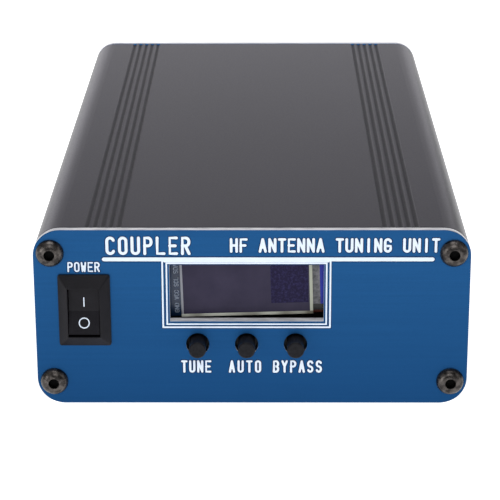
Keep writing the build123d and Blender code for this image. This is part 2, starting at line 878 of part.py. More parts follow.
def match_transformers():
    cores = []
    windings = []
    lines = []
    axis_z = board_top + match_outer + match_wire
    for side in (-1, 1):
        match_x = output_middle_x + side * match_offset
        place = Pos(match_x, match_y, axis_z) * Rot(90, 0, 0)
        sizes = (match_outer, match_inner, match_thickness)
        cores.append(place * ring(*sizes, match_rounding))
        windings.append(place * wound_sleeve(*sizes, match_wire, match_open_angle))
        line_y = (match_y - match_line_length / 2, match_y + match_line_length / 2)
        body = rod(match_x, axis_z, match_line_radius, *line_y)
        for y in line_y:
            half_foot = match_foot_side / 2
            foot = block(
                (match_x - half_foot, match_x + half_foot),
                (y - half_foot, y + half_foot),
                (board_top, axis_z + half_foot),
            )
            body += foot
        lines.append(body)
    write("match_cores", cores)
    write("match_windings", windings)
    write("match_lines", lines)


def capacitors():
    length, width, height = capacitor_size
    blocks = []
    half_foot = capacitor_foot_side / 2
    body_height = height - capacitor_lift
    for y in right_relays:
        body = Box(length, width, body_height)
        body = fillet(body.edges(), capacitor_rounding)
        solid = Pos(capacitor_x, y, board_top + capacitor_lift + body_height / 2) * body
        for hand in (-1, 1):
            foot_y = y + hand * capacitor_foot_pitch / 2
            foot = block(
                (capacitor_x - half_foot, capacitor_x + half_foot),
                (foot_y - half_foot, foot_y + half_foot),
                (board_top, board_top + capacitor_foot_height),
            )
            solid += foot
        blocks.append(solid)
    write("capacitor_bank", blocks)


def chip(x, y, size, stand):
    """Dual in-line chip with its two rows of legs."""
    length, width, height = size
    low = board_top + stand
    body = block(
        (x - length / 2, x + length / 2),
        (y - width / 2, y + width / 2),
        (low + chip_lift, low + height),
    )
    body = chamfer(body.edges().group_by(Axis.Z)[-1], chip_break)
    count = int(length / chip_leg_pitch)
    for step in range(count):
        leg_x = x + (step - (count - 1) / 2) * chip_leg_pitch
        leg_span = (leg_x - chip_leg_width / 2, leg_x + chip_leg_width / 2)
        for side in (-1, 1):
            near = y + side * (width / 2 - chip_leg_inset)
            far = y + side * (width / 2 + chip_leg_reach)
            leg_y = (min(near, far), max(near, far))
            body += block(leg_span, leg_y, (low, low + height / 2))
    return body


def chips():
    length, width, height = controller_size
    outer_x = length / 2
    outer_y = width / 2 + controller_socket_rim
    inner_x = length / 2 - controller_socket_end
    inner_y = width / 2 - controller_socket_rim
    socket = block(
        (controller_x - outer_x, controller_x + outer_x),
        (controller_y - outer_y, controller_y + outer_y),
        (board_top, board_top + controller_socket_height),
    )
    socket -= block(
        (controller_x - inner_x, controller_x + inner_x),
        (controller_y - inner_y, controller_y + inner_y),
        (board_top - 1, board_top + controller_socket_height + 1),
    )
    write("controller_socket", [socket])
    write("controller_chip", [chip(controller_x, controller_y, controller_size, controller_socket_height)])
    driver_rows = [board_front + margin for margin in driver_front_margins]
    write("driver_chips", [chip(driver_x, y, driver_size, 0) for y in driver_rows])


def electrolytics():
    cans = []
    for x in electrolytic_places_x:
        can = Cylinder(electrolytic_radius, electrolytic_height)
        can = fillet(can.edges().filter_by(GeomType.CIRCLE), electrolytic_rounding)
        crimp = Cylinder(electrolytic_radius + 1, electrolytic_crimp_width)
        crimp -= Cylinder(electrolytic_radius - electrolytic_crimp_depth, electrolytic_crimp_width)
        can -= Pos(0, 0, electrolytic_crimp_height - electrolytic_height / 2) * crimp
        cans.append(Pos(x, electrolytic_y, board_top + electrolytic_height / 2) * can)
    write("electrolytic_capacitors", cans)


def regulator():
    length, width, height = regulator_size
    low = board_top + regulator_lead
    x_span = (regulator_x - length / 2, regulator_x + length / 2)
    y_span = (regulator_y - width / 2, regulator_y + width / 2)
    body = block(x_span, y_span, (low, low + height))
    body = chamfer(body.faces().sort_by(Axis.Y)[0].edges(), regulator_break)
    for step in (-1, 0, 1):
        leg_x = regulator_x + step * regulator_leg_pitch
        half_x, half_y = (side / 2 for side in regulator_leg_size)
        leg_y = (regulator_y - half_y, regulator_y + half_y)
        body += block((leg_x - half_x, leg_x + half_x), leg_y, (board_top, low + 0.5))
    tab_y = (regulator_y + width / 2, regulator_y + width / 2 + regulator_tab_thickness)
    tab = block(x_span, tab_y, (low, low + height + regulator_tab_height))
    hole_z = low + height + regulator_tab_height / 2
    tab -= rod(regulator_x, hole_z, regulator_hole_radius, tab_y[0] - 1, tab_y[1] + 1)
    write("voltage_regulator", [body])
    write("regulator_tab", [tab])


# Rear sockets

def coax_sockets():
    shells = []
    insulators = []
    contacts = []
    mouth = rear_face + coax_flange_thickness + coax_barrel_length
    bore_floor = rear_face + coax_bore_floor
    ferrule_end = rear_face - coax_ferrule_length
    for x in coax_places:
        flange = RectangleRounded(coax_flange_side, coax_flange_side, coax_flange_corner)
        shell = along_y(Pos(x, coax_z) * flange, rear_face, rear_face + coax_flange_thickness)
        shell += rod(x, coax_z, coax_barrel_radius, rear_face, mouth)
        shell = chamfer(shell.faces().sort_by(Axis.Y)[-1].edges(), coax_barrel_break)
        shell += rod(x, coax_z, coax_ferrule_radius, ferrule_end, rear_face + 1)
        shell -= rod(x, coax_z, coax_bore_radius, bore_floor, mouth + 1)
        shell -= rod(x, coax_z, coax_ferrule_bore, ferrule_end - 1, mouth)
        for side in (-1, 1):
            for level in (-1, 1):
                hole_x = x + side * coax_hole_spacing / 2
                hole_z = coax_z + level * coax_hole_spacing / 2
                shell -= rod(hole_x, hole_z, m3_radius + m3_hole_clearance, rear_face - 1, mouth)
        for turn in (45, 135):
            notch = Box(4 * coax_barrel_radius, coax_notch_side, coax_notch_side)
            shell -= Pos(x, mouth, coax_z) * Rot(0, turn, 0) * notch
        shells.append(shell)

        step_front = bore_floor + coax_insulator_step
        insulator = tube(x, coax_z, coax_bore_radius, coax_contact_radius, bore_floor, step_front)
        tail_end = ferrule_end - coax_insulator_tail
        insulator += tube(x, coax_z, coax_ferrule_bore, coax_contact_radius, tail_end, bore_floor)
        insulators.append(insulator)

        contact_front = mouth - coax_contact_recess
        contact = rod(x, coax_z, coax_contact_radius, tail_end, contact_front)
        bore_end = contact_front - coax_contact_bore_length
        contact -= rod(x, coax_z, coax_contact_bore, bore_end, contact_front + 1)
        slit_length = coax_contact_bore_length - coax_slit_end
        for turn in (0, 90):
            slit = Rot(0, turn, 0) * Box(4 * coax_contact_radius, slit_length, coax_contact_slit)
            contact -= Pos(x, contact_front - slit_length / 2, coax_z) * slit
        cup_end = tail_end - coax_cup_length
        contact += rod(x, coax_z, coax_cup_radius, cup_end, tail_end + 1)
        contact -= rod(x, coax_z, coax_cup_bore, cup_end - 1, cup_end + coax_cup_depth)
        contacts.append(contact)
    write("coax_shells", shells)
    write("coax_insulators", insulators)
    write("coax_contacts", contacts)

    screws = []
    nuts = []
    head_seat = rear_face + coax_flange_thickness
    nut_low = rear_inside - nut_height
    for x, z in coax_screw_places:
        head = rod(x, z, flange_head_radius, head_seat, head_seat + flange_head_height)
        head = fillet(head.faces().sort_by(Axis.Y)[-1].edges(), flange_head_rounding)
        shank = rod(x, z, m3_radius, nut_low - 1, head_seat + 0.5)
        screw = head + shank
        for turn in (0, 90):
            cross = Rot(0, turn, 0) * Box(*flange_cross)
            screw -= Pos(x, head_seat + flange_head_height, z) * cross
        screws.append(screw)
        nuts.append(hexagon(x, z, nut_width, nut_low, rear_inside, m3_radius + m3_thread_clearance))
    write("coax_screws", screws)
    write("coax_nuts", nuts)
    return ferrule_end - coax_insulator_tail - coax_cup_length


def power_jack():
    face = rear_face + jack_flange_thickness
    back = rear_face - jack_length
    bore_floor = face - jack_bore_depth
    body = rod(0, jack_z, jack_barrel_radius, back, rear_face)
    body += rod(0, jack_z, jack_flange_radius, rear_face, face)
    body = chamfer(body.faces().sort_by(Axis.Y)[-1].edges(), jack_flange_break)
    body -= rod(0, jack_z, jack_bore_radius, bore_floor, face + 1)
    body -= rod(0, jack_z, jack_pin_root_radius, back, face)
    tab_z = (jack_z - jack_tab_width / 2, jack_z + jack_tab_width / 2)
    tabs = []
    for side in (-1, 1):
        middle = side * jack_tab_offset
        span = (middle - jack_tab_thickness / 2, middle + jack_tab_thickness / 2)
        body -= block(span, (back - 1, back + jack_tab_root), tab_z)
        tabs.append(block(span, (back - jack_tab_length, back + jack_tab_root), tab_z))
    write("power_jack_body", [body])
    pin = rod(0, jack_z, jack_pin_radius, bore_floor, face - jack_pin_recess)
    pin += rod(0, jack_z, jack_pin_root_radius, back, bore_floor)
    write("power_jack_pin", [pin])
    write("power_jack_tabs", tabs)
    nut = hexagon(
        0,
        jack_z,
        jack_nut_width,
        rear_inside - jack_nut_height,
        rear_inside,
        jack_barrel_radius + m3_thread_clearance,
    )
    write("power_jack_nut", [nut])
    return back - jack_tab_length


def ground_terminal():
    """Stud with its own hexagonal collar, held from inside by a nut over a washer and a lug."""
    collar_end = rear_face + ground_collar_height
    washer_seat = rear_inside - lug_thickness
    nut_seat = washer_seat - washer_thickness
    nut_end = nut_seat - ground_nut_height
    stud = rod(0, ground_z, ground_radius, nut_end - ground_tail, collar_end + ground_stud_length)
    stud = chamfer(stud.faces().sort_by(Axis.Y)[-1].edges(), ground_tip_break)
    collar = RegularPolygon(ground_collar_width / 2, 6, major_radius=False)
    stud += along_y(Pos(0, ground_z) * collar, rear_face, collar_end)
    write("ground_stud", [stud])
    lug = rod(0, ground_z, lug_radius, washer_seat, rear_inside)
    tab_z = (ground_z - lug_width / 2, ground_z + lug_width / 2)
    lug += block((-lug_reach, 0), (washer_seat, rear_inside), tab_z)
    lug -= rod(0, ground_z, ground_radius + ground_hole_clearance, washer_seat - 1, rear_inside + 1)
    write("ground_lug", [lug])
    bore = ground_radius + m3_thread_clearance
    write("ground_washer", [tube(0, ground_z, washer_radius, bore, nut_seat, washer_seat)])
    write("ground_nut", [hexagon(0, ground_z, ground_nut_width, nut_end, nut_seat, bore)])


def internal_leads(cup_end, tab_end):
    switch_end = front_face + terminal_end
    over_board = board_top + relay_size[2] + lead_rise
    relay_end_y = left_relays[0] - relay_size[1] / 2
    feed = (
        (jack_tab_offset, tab_end, jack_z),
        (jack_tab_offset, tab_end - feed_runs[0], jack_z),
        (feed_x[0], tab_end - feed_runs[1], over_board),
        (feed_x[1], tab_end - feed_runs[2], over_board),
        (feed_x[1], front_face + feed_front_run, over_board),
        (switch_x, relay_end_y - feed_over_relay, over_board),
        (switch_x, switch_end + feed_tail, switch_z),
        (switch_x, switch_end, switch_z),
    )
    fed = lead(feed, power_lead_radius, lead_bend)
    low_z = switch_z - terminal_offset
    drop_y = relay_end_y - 2 * power_lead_radius
    switched = (
        (switch_x, switch_end, low_z),
        (switch_x, drop_y, low_z),
        (switch_x, drop_y, board_top),
    )
    write("supply_leads", [fed, lead(switched, power_lead_radius, switch_lead_bend)])
    back = (
        (-jack_tab_offset, tab_end, jack_z),
        (0, lead_landing_y, jack_z),
        (0, lead_landing_y, board_top),
    )
    landing_x = -lug_reach + lug_landing
    earth = (
        (landing_x, rear_inside - lug_thickness, ground_z),
        (landing_x, rear_inside - earth_lead_runs[0], ground_z),
        (landing_x, rear_inside - earth_lead_runs[1], ground_z + earth_lead_rise),
        (landing_x, lead_landing_y, ground_z + earth_lead_rise),
        (landing_x, lead_landing_y, board_top),
    )
    returned = lead(back, power_lead_radius, lead_bend)
    write("return_leads", [returned, lead(earth, power_lead_radius, earth_lead_bend)])
    rf = []
    for x in coax_places:
        points = ((x, cup_end, coax_z), (x, lead_landing_y, coax_z), (x, lead_landing_y, board_top))
        rf.append(lead(points, rf_lead_radius, lead_bend))
    write("rf_leads", rf)


os.makedirs("parts", exist_ok=True)
case_shells()
front_panel()
rear_panel()
panel_screws()
switch_housing()
switch_rocker()
switch_plunger()
switch_spring()
switch_blade()
switch_terminals()
button_back = push_buttons()
display_module()
main_board(button_back)
relays()
toroids()
air_coils()
match_transformers()
capacitors()
chips()
electrolytics()
regulator()
cup_end = coax_sockets()
tab_end = power_jack()
ground_terminal()
internal_leads(cup_end, tab_end)
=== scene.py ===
import json
import math
import bmesh
import bpy
from mathutils import Matrix, Vector


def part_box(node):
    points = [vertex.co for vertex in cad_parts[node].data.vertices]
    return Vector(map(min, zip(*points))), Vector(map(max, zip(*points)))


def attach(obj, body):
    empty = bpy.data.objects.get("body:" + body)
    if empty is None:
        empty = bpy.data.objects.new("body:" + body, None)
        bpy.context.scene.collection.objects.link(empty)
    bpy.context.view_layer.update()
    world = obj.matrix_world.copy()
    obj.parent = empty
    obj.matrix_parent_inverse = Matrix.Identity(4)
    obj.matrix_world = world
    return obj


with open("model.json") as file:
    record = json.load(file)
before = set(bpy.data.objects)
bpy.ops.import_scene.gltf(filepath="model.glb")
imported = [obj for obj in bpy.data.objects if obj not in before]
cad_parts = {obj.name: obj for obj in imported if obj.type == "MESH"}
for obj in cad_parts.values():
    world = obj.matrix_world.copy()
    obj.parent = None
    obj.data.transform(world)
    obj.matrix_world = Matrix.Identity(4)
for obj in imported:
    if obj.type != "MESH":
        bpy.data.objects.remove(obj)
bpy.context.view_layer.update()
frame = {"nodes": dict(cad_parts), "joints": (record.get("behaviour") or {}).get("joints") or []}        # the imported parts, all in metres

mm = 0.001


# shader helpers

class Wire:
    def __init__(self, paint, socket):
        self.paint = paint
        self.socket = socket

    def join(self, operation, first, second):
        return self.paint.node("ShaderNodeMath", {"operation": operation}, {0: first, 1: second})

    def __add__(self, other):
        return self.join("ADD", self, other)

    def __sub__(self, other):
        return self.join("SUBTRACT", self, other)

    def __rsub__(self, other):
        return self.join("SUBTRACT", other, self)

    def __mul__(self, other):
        return self.join("MULTIPLY", self, other)

    def __gt__(self, other):
        return self.join("GREATER_THAN", self, other)

    def __lt__(self, other):
        return self.join("LESS_THAN", self, other)

    def __abs__(self):
        return self.join("ABSOLUTE", self, 0.0)

    def __mod__(self, other):
        return self.join("FLOORED_MODULO", self, other)

    __radd__ = __add__


class Paint:
    def __init__(self, name):
        self.material = bpy.data.materials.new(name)
        self.material.use_nodes = True
        self.tree = self.material.node_tree
        self.tree.nodes.clear()
        self.surface = self.tree.nodes.new("ShaderNodeBsdfPrincipled")
        output = self.tree.nodes.new("ShaderNodeOutputMaterial")
        self.tree.links.new(self.surface.outputs[0], output.inputs[0])

    def feed(self, socket, value):
        if isinstance(value, Wire):
            self.tree.links.new(value.socket, socket)
        else:
            socket.default_value = value

    def node(self, kind, settings, sockets, output=0):
        made = self.tree.nodes.new(kind)
        for key, value in settings.items():
            setattr(made, key, value)
        for key, value in sockets.items():
            self.feed(made.inputs[key], value)
        return Wire(self, made.outputs[output])

    def place(self):
        return self.node("ShaderNodeTexCoord", {}, {}, "Object")

    def facing(self):
        return self.node("ShaderNodeTexCoord", {}, {}, "Normal")

    def stretched(self, scale):
        return self.node("ShaderNodeMapping", {}, {"Vector": self.place(), "Scale": scale})

    def axes(self, vector):
        x = self.node("ShaderNodeSeparateXYZ", {}, {0: vector}, 0)
        return x, Wire(self, x.socket.node.outputs[1]), Wire(self, x.socket.node.outputs[2])

    def noise(self, vector, scale, detail=3.0, roughness=0.6):
        values = {"Vector": vector, "Scale": scale, "Detail": detail, "Roughness": roughness}
        return self.node("ShaderNodeTexNoise", {}, values, "Fac")

    def cells(self, vector, scale):
        values = {"Vector": vector, "Scale": scale}
        return self.node("ShaderNodeTexVoronoi", {"feature": "F1"}, values, "Distance")

    def blend(self, share, first, second):
        values = {0: share, 6: first, 7: second}
        return self.node("ShaderNodeMix", {"data_type": "RGBA"}, values, 2)

    def spread(self, value, low, high, toLow=0.0, toHigh=1.0):
        values = {0: value, 1: low, 2: high, 3: toLow, 4: toHigh}
        return self.node("ShaderNodeMapRange", {"clamp": True}, values)

    def bump(self, height, strength, depth):
        return self.node("ShaderNodeBump", {}, {"Strength": strength, "Distance": depth, "Height": height})

    def use(self, **values):
        for key, value in values.items():
            self.feed(self.surface.inputs[socketNames[key]], value)
        return self.material


socketNames = {
    "colour": "Base Color", "metal": "Metallic", "rough": "Roughness", "normal": "Normal",
    "coat": "Coat Weight", "glow": "Emission Color", "glowStrength": "Emission Strength",
    "specular": "Specular IOR Level",
}


def shade(red, green, blue):
    return (red, green, blue, 1.0)


# one plain recipe that most moulded and plated parts share; a part may name its own value for any of these

plainDefaults = {
    "patch": 60.0,
    "grain": 2500.0,
    "metal": 0.0,
    "roughSpread": 0.12,
    "coat": 0.0,
    "specular": 0.5,
    "bump": 0.15,
    "depth": 0.00003,
}


def speckled(name, recipe):
    look = {**plainDefaults, **recipe}
    paint = Paint(name)
    place = paint.place()
    broad = paint.noise(place, look["patch"], 4.0)
    fine = paint.noise(place, look["grain"], 2.0)
    tone = paint.spread(broad, 0.3, 0.7)
    return paint.use(
        colour=paint.blend(tone, look["dark"], look["light"]),
        metal=look["metal"],
        rough=look["rough"] + (fine - 0.5) * look["roughSpread"],
        coat=look["coat"],
        specular=look["specular"],
        normal=paint.bump(fine, look["bump"], look["depth"]),
    )


plainRecipes = {
    "brassBright": {"dark": shade(0.60, 0.42, 0.15), "light": shade(0.80, 0.62, 0.28), "metal": 1.0,
                    "rough": 0.28},
    "zincSteel": {"dark": shade(0.48, 0.48, 0.47), "light": shade(0.66, 0.66, 0.64), "metal": 1.0,
                  "rough": 0.34},
    # the button brackets' steel is painted near black: painted shade
    "shadowedSteel": {"dark": shade(0.012, 0.012, 0.012), "light": shade(0.035, 0.035, 0.034), "metal": 1.0,
                   "rough": 0.45},
    "nickelSatin": {"dark": shade(0.55, 0.52, 0.47), "light": shade(0.72, 0.69, 0.63), "metal": 1.0,
                    "rough": 0.22, "grain": 1200.0},
    "copperEnamel": {"dark": shade(0.42, 0.14, 0.05), "light": shade(0.62, 0.25, 0.10), "metal": 0.9,
                     "rough": 0.24, "coat": 0.6},
    "foamBlack": {"dark": shade(0.012, 0.012, 0.012), "light": shade(0.03, 0.03, 0.03), "rough": 0.95,
                  "grain": 3500.0, "bump": 0.6, "depth": 0.00008},
    "relayBlue": {"dark": shade(0.012, 0.06, 0.24), "light": shade(0.02, 0.09, 0.33), "rough": 0.38},
    "coreRed": {"dark": shade(0.30, 0.02, 0.012), "light": shade(0.48, 0.05, 0.03), "rough": 0.55,
                "grain": 1800.0, "bump": 0.4, "depth": 0.00006},
    "ferriteGrey": {"dark": shade(0.03, 0.03, 0.032), "light": shade(0.065, 0.065, 0.068), "rough": 0.6,
                    "bump": 0.35},
    "resinBrown": {"dark": shade(0.22, 0.07, 0.02), "light": shade(0.38, 0.14, 0.05), "rough": 0.3,
                   "coat": 0.5},
    "chipEpoxy": {"dark": shade(0.02, 0.02, 0.02), "light": shade(0.035, 0.035, 0.036), "rough": 0.6},
    "sleeveDark": {"dark": shade(0.01, 0.01, 0.03), "light": shade(0.02, 0.02, 0.05), "rough": 0.3,
                   "coat": 0.3},
    "fluoroWhite": {"dark": shade(0.70, 0.67, 0.58), "light": shade(0.84, 0.81, 0.73), "rough": 0.5},
    "wireRed": {"dark": shade(0.32, 0.015, 0.01), "light": shade(0.48, 0.03, 0.02), "rough": 0.42},
    "wireBlack": {"dark": shade(0.012, 0.012, 0.012), "light": shade(0.03, 0.03, 0.03), "rough": 0.42},
    "headerBlack": {"dark": shade(0.015, 0.015, 0.016), "light": shade(0.028, 0.028, 0.03), "rough": 0.5},
    "labelInk": {"dark": shade(0.36, 0.43, 0.56), "light": shade(0.50, 0.58, 0.72), "rough": 0.6,
                 "specular": 0.1},
}


# case and panels

caseFinish = {
    "dark": shade(0.0125, 0.0105, 0.021),
    "light": shade(0.0180, 0.0155, 0.029),
    "metal": 0.0,
    "rough": 0.34,
    "roughSpread": 0.2,
    "blastScale": 2600.0,
    "streakScale": (900.0, 14.0, 900.0),
    "cloudScale": 35.0,
    "bump": 0.25,
    "bumpDepth": 0.00004,
    "grooveFrom": 25.0,
    "grooveTo": 36.0,
    "grooveLip": 0.01,
    "grooveDeep": 0.28,
    "grooveDark": shade(0.006, 0.005, 0.011),
    "grooveRough": 0.16,
}
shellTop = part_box("upper_shell")[1].z


def caseGrey():
    look = caseFinish
    paint = Paint("caseGrey")
    place = paint.place()
    blast = paint.noise(place, look["blastScale"], 2.0, 0.7)
    streak = paint.noise(paint.stretched(look["streakScale"]), 1.0, 3.0)
    cloud = paint.noise(place, look["cloudScale"], 3.0)
    tone = paint.spread(blast * 0.55 + streak * 0.2 + cloud * 0.25, 0.35, 0.65)
    x, _, z = paint.axes(place)
    beside = (abs(x) > look["grooveFrom"] * mm) * (abs(x) < look["grooveTo"] * mm)
    # the grooves are on top and underneath, so height is taken from the middle
    half = shellTop / 2
    lip = half - look["grooveLip"] * mm
    # inside the grooves the colour is painted shade, darkest towards the groove floor, with a rougher finish
    # there too
    groove = paint.spread(abs(z - half), lip, half - look["grooveDeep"] * mm) * beside
    colour = paint.blend(tone, look["dark"], look["light"])
    return paint.use(
        colour=paint.blend(groove, colour, look["grooveDark"]),
        metal=look["metal"],
        rough=look["rough"] + (blast - 0.5) * look["roughSpread"] + groove * look["grooveRough"],
        normal=paint.bump(blast, look["bump"], look["bumpDepth"]),
    )


panelFinish = {
    "dark": shade(0.0098, 0.070, 0.200),
    "light": shade(0.0120, 0.083, 0.230),
    "bare": shade(0.95, 0.95, 0.98),
    "scratched": shade(0.45, 0.45, 0.49),
    "metal": 0.55,
    "bareLoss": 0.5,
    "rough": 0.36,
    "roughSpread": 0.15,
    "specular": 0.10,
    "blastScale": 3200.0,
    "brushScale": (25.0, 25.0, 1500.0),
    "scratchScale": (300.0, 4000.0, 300.0),
    "bump": 0.12,
    "bumpDepth": 0.00003,
    "bottomShadeBand": (4.0, 30.0),
    "foot": shade(0.0035, 0.045, 0.142),
    "footShade": 0.6,
    "flatness": 0.6,
    "holeShade": shade(0.006, 0.007, 0.010),
    "buttonBand": (10.2, 16.2),
    "buttonHalf": 14.5,
    "crescent": 0.35,
    "crescentBlur": 0.3,
}
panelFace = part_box("front_panel")[0].y


def panelBlue():
    look = panelFinish
    paint = Paint("panelBlue")
    place = paint.place()
    _, forward, _ = paint.axes(paint.facing())
    x, y, z = paint.axes(place)
    blast = paint.noise(place, look["blastScale"], 2.0, 0.7)
    brushed = paint.noise(paint.stretched(look["brushScale"]), 1.0, 3.0)
    tone = paint.spread(blast * 0.4 + brushed * 0.6, 0.35, 0.65)
    blue = paint.blend(tone, look["dark"], look["light"])
    # the panel is painted darker towards its lower edge: painted shade
    footLow, footHigh = look["bottomShadeBand"]
    bottomShadeShare = paint.spread(z, footHigh * mm, footLow * mm, 0.0, look["footShade"])
    blue = paint.blend(bottomShadeShare, blue, look["foot"])
    scratch = paint.noise(paint.stretched(look["scratchScale"]), 1.0, 2.0)
    bare = paint.blend(paint.spread(scratch, 0.3, 0.6), look["scratched"], look["bare"])
    # edges and holes are bare metal; deeper in the button holes the colour is painted shade
    cut = abs(forward) < look["flatness"]
    low, high = look["buttonBand"]
    nearButtons = (z > low * mm) * (z < high * mm) * (abs(x) < look["buttonHalf"] * mm)
    depth = y - panelFace + (blast - 0.5) * look["crescentBlur"] * mm
    holeShadeShare = nearButtons * (depth > look["crescent"] * mm)
    bare = paint.blend(holeShadeShare, bare, look["holeShade"])
    return paint.use(
        colour=paint.blend(cut, blue, bare),
        metal=look["metal"] - cut * look["bareLoss"],
        specular=look["specular"],
        rough=look["rough"] + (blast - 0.5) * look["roughSpread"],
        normal=paint.bump(blast, look["bump"], look["bumpDepth"]),
    )


screwLook = {
    "headRadius": 2.85,
    "socketRadius": 1.1,
    "dark": shade(0.028, 0.025, 0.024),
    "light": shade(0.11, 0.099, 0.092),
    "socket": shade(0.003, 0.003, 0.003),
    "metal": 0.9,
    "rough": 0.27,
    "roughSpread": 0.25,
    "socketRough": 0.4,
    "mottleScale": 900.0,
    "fineScale": 5000.0,
    "bump": 0.2,
    "bumpDepth": 0.00002,
}


def screwBlack():
    look = screwLook
    paint = Paint("screwBlack")
    place = paint.place()
    x, _, z = paint.axes(place)
    low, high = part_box("front_panel_screws")
    head = look["headRadius"] * mm
    across = abs(x) - (high.x - head)
    rise = abs(z - (low.z + high.z) / 2) - ((high.z - low.z) / 2 - head)
    # the round patch over each hex socket is painted near black: painted shade in the recess
    socket = (across * across + rise * rise) < (look["socketRadius"] * mm) ** 2
    mottle = paint.noise(place, look["mottleScale"], 4.0)
    fine = paint.noise(place, look["fineScale"], 2.0)
    oxide = paint.blend(paint.spread(mottle, 0.4, 0.65), look["dark"], look["light"])
    return paint.use(
        colour=paint.blend(socket, oxide, look["socket"]),
        metal=look["metal"],
        rough=look["rough"] + (mottle - 0.5) * look["roughSpread"] + socket * look["socketRough"],
        normal=paint.bump(fine, look["bump"], look["bumpDepth"]),
    )


switchFinish = {
    "dark": shade(0.0075, 0.007, 0.009),
    "light": shade(0.013, 0.0125, 0.016),
    "rough": 0.33,
    "roughSpread": 0.2,
    "specular": 0.11,
    "sparkScale": 3600.0,
    "cloudScale": 140.0,
    "bump": 0.5,
    "bumpDepth": 0.00004,
}


def switchBlack():
    look = switchFinish
    paint = Paint("switchBlack")
    place = paint.place()
    spark = paint.cells(place, look["sparkScale"])
    cloud = paint.noise(place, look["cloudScale"], 3.0)
    return paint.use(
        colour=paint.blend(paint.spread(cloud, 0.3, 0.7), look["dark"], look["light"]),
        rough=look["rough"] + (spark - 0.4) * look["roughSpread"],
        specular=look["specular"],
        normal=paint.bump(spark, look["bump"], look["bumpDepth"]),
    )


buttonFinish = {
    "dark": shade(0.005, 0.005, 0.007),
    "light": shade(0.012, 0.012, 0.015),
    "rough": 0.34,
    "roughSpread": 0.2,
    "specular": 0.12,
    "swirlScale": (1500.0, 120.0, 1500.0),
    "fineScale": 4200.0,
    "bump": 0.2,
    "bumpDepth": 0.00003,
}


def buttonBlack():
    look = buttonFinish
    paint = Paint("buttonBlack")
    swirl = paint.noise(paint.stretched(look["swirlScale"]), 1.0, 3.0)
    fine = paint.noise(paint.place(), look["fineScale"], 2.0)
    return paint.use(
        colour=paint.blend(paint.spread(swirl, 0.35, 0.65), look["dark"], look["light"]),
        specular=look["specular"],
        rough=look["rough"] + (fine - 0.5) * look["roughSpread"],
        normal=paint.bump(fine, look["bump"], look["bumpDepth"]),
    )


# display: everything is painted in the module's own turned coordinates

module = {"tilt": 1.6}
moduleLow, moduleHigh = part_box("display_board")
coverLow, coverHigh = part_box("display_cover_glass")
glassLow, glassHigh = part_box("display_rear_glass")
moduleMiddle = (moduleLow + moduleHigh) / 2
moduleTurn = Matrix.Rotation(-math.radians(module["tilt"]), 4, "Y")


def moduleAxes(paint, centre):
    values = {"Vector": paint.place(), "Location": tuple(-value for value in centre)}
    centred = paint.node("ShaderNodeMapping", {"vector_type": "POINT"}, values)
    turned = paint.node(
        "ShaderNodeMapping",
        {"vector_type": "POINT"},
        {"Vector": centred, "Rotation": (0.0, math.radians(module["tilt"]), 0.0)},
    )
    return paint.axes(turned)


coverLook = {
    "film": shade(0.028, 0.024, 0.050),
    "filmLight": shade(0.037, 0.032, 0.062),
    "patch": shade(0.008, 0.005, 0.030),
    "patchSpeck": shade(0.030, 0.026, 0.105),
    "edge": shade(0.42, 0.44, 0.36),
    "edgeBright": shade(0.66, 0.68, 0.60),
    "edgeDim": shade(0.16, 0.15, 0.12),
    "side": shade(0.30, 0.31, 0.35),
    "band": 0.62,
    "sideBand": 0.45,
    "halfWidth": 13.5,
    "halfHeight": 5.75,
    "patchLeft": 4.95,
    "patchRight": 12.6,
    "patchFoot": 2.5,
    "mottleScale": 1500.0,
    "cloudScale": 220.0,
    "sheenScale": (110.0, 1.0, 1.0),
    "rough": 0.25,
    "roughSpread": 0.08,
    "specular": 0.12,
    "bump": 0.03,
    "bumpDepth": 0.00005,
}


def coverGlass():
    look = coverLook
    paint = Paint("coverGlass")
    place = paint.place()
    x, _, z = moduleAxes(paint, (coverLow + coverHigh) / 2)
    halfWidth = look["halfWidth"] * mm
    halfHeight = look["halfHeight"] * mm
    mottle = paint.noise(place, look["mottleScale"], 4.0, 0.8)
    cloud = paint.noise(place, look["cloudScale"], 3.0)
    colour = paint.blend(paint.spread(cloud, 0.3, 0.7), look["film"], look["filmLight"])
    patch = (x > look["patchLeft"] * mm) * (x < look["patchRight"] * mm)
    patch = patch * (z > look["patchFoot"] * mm - halfHeight)
    speck = paint.blend(paint.spread(mottle, 0.45, 0.75), look["patch"], look["patchSpeck"])
    colour = paint.blend(patch, colour, speck)
    foot = z < look["band"] * mm - halfHeight
    side = x > halfWidth - look["band"] * mm
    nearSide = x < look["sideBand"] * mm - halfWidth
    colour = paint.blend(nearSide, colour, look["side"])
    colour = paint.blend(side, colour, look["edge"])
    sheen = paint.noise(paint.stretched(look["sheenScale"]), 1.0, 1.0)
    footTone = paint.blend(paint.spread(sheen, 0.42, 0.6), look["edgeBright"], look["edgeDim"])
    colour = paint.blend(foot, colour, footTone)
    return paint.use(
        colour=colour,
        rough=look["rough"] + (mottle - 0.5) * look["roughSpread"],
        specular=look["specular"],
        normal=paint.bump(cloud, look["bump"], look["bumpDepth"]),
    )


rearLook = {
    "ledgeDark": shade(0.07, 0.072, 0.08),
    "ledgeLight": shade(0.22, 0.22, 0.24),
    "stripFrom": 13.55,
    "stripDark": shade(0.002, 0.008, 0.26),
    "stripLight": shade(0.006, 0.022, 0.50),
    "footBelow": -3.9,
    "foot": shade(0.014, 0.016, 0.014),
    "tapeBelow": -5.2,
    "tape": shade(0.06, 0.012, 0.006),
    "mottleScale": 1300.0,
    "rough": 0.15,
    "roughSpread": 0.1,
    "specular": 0.3,
}


